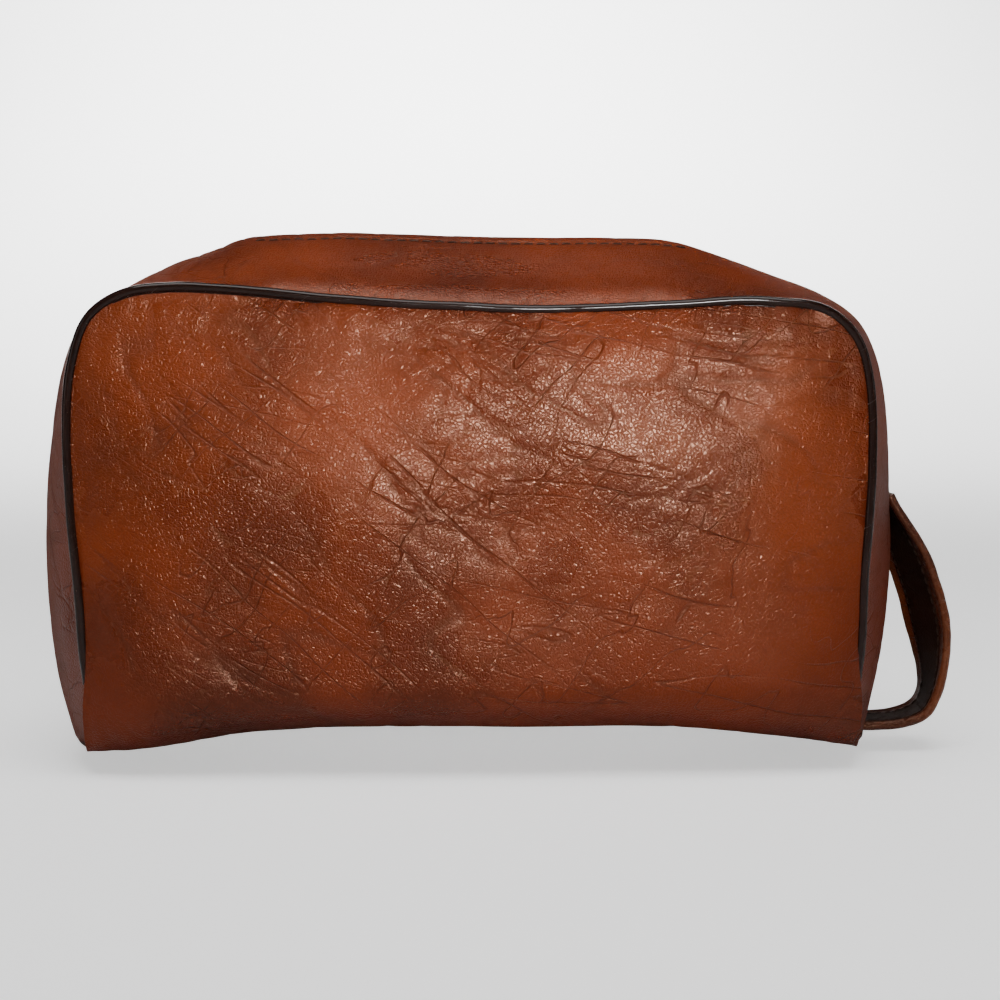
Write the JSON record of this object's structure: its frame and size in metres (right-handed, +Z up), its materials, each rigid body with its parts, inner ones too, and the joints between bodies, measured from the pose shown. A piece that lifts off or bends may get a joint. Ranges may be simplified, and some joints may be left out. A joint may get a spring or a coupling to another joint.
{
  "type": "shaving kit bag",
  "caption": "Leather shaving kit bag with piped seams, bulged end gussets, a zip mouth along the top crest and a wrist strap loop at one end.",
  "frame": {"origin": "centre of the base, on the plane the bag stands on", "axes": "X along the bag towards the wrist strap, Y from the front panel to the back, Z up"},
  "size_m": [0.3027, 0.0932, 0.1676],
  "materials": {
    "cover_leather": "glossy, grained and creased",
    "piping_vinyl": "smooth, shiny",
    "lining_cloth": "plain woven",
    "zip_tape": "woven twill",
    "zip_metal": "stamped, worn",
    "slider_metal": "die cast, polished",
    "thread": "waxed",
    "strap_liner": "dark, creased"
  },
  "bodies": {
    "bag": {"body_panel": "cover_leather", "body_lining": "lining_cloth", "end_gusset_left": "cover_leather", "end_gusset_right": "cover_leather", "end_lining_left": "lining_cloth", "end_lining_right": "lining_cloth", "front_piping": "piping_vinyl", "back_piping": "piping_vinyl", "zip_tape_end_left": "zip_tape", "zip_tape_end_right": "zip_tape", "zip_teeth_end_left": "zip_metal", "zip_teeth_end_right": "zip_metal", "zip_thread_ends": "thread", "zip_top_stops": "zip_metal", "zip_bottom_stop": "zip_metal", "wrist_strap_ends": "cover_leather", "strap_liner_ends": "strap_liner"},
    "front_lip": {"top_band_front": "cover_leather", "top_lining_front": "lining_cloth", "zip_tape_front": "zip_tape", "zip_teeth_front": "zip_metal", "zip_thread_front": "thread"},
    "back_lip": {"top_band_back": "cover_leather", "top_lining_back": "lining_cloth", "zip_tape_back": "zip_tape", "zip_teeth_back": "zip_metal", "zip_thread_back": "thread"},
    "slider": {"zip_slider": "slider_metal"},
    "pull": {"zip_pull": "slider_metal"},
    "strap": {"wrist_strap": "cover_leather", "strap_liner": "strap_liner"}
  },
  "joints": [
    {"name": "front_lip_swing", "type": "hinge", "parent": "bag", "child": "front_lip", "pos_m": [0, -0.045, 0.148], "axis": [1, 0, 0], "range_deg": [0, 50]},
    {"name": "back_lip_swing", "type": "hinge", "parent": "bag", "child": "back_lip", "pos_m": [0, 0.045, 0.148], "axis": [-1, 0, 0], "range_deg": [0, 50]},
    {"name": "slider_run", "type": "slide", "parent": "bag", "child": "slider", "axis": [1, 0, 0], "range_m": [0, 0.1318]},
    {"name": "pull_flip", "type": "hinge", "parent": "slider", "child": "pull", "pos_m": [-0.0659, 0, 0.16603], "axis": [0, -1, 0], "range_deg": [0, 180]},
    {"name": "strap_swing", "type": "hinge", "parent": "bag", "child": "strap", "pos_m": [0.1321, 0, 0.0421], "axis": [0.2039, 0, 0.979], "range_deg": [-30, 30], "stiffness_Nm_per_rad": 0.01}
  ],
  "couplings": [
    {"joint": "back_lip_swing", "follows": "front_lip_swing", "ratio": 1}
  ]
}
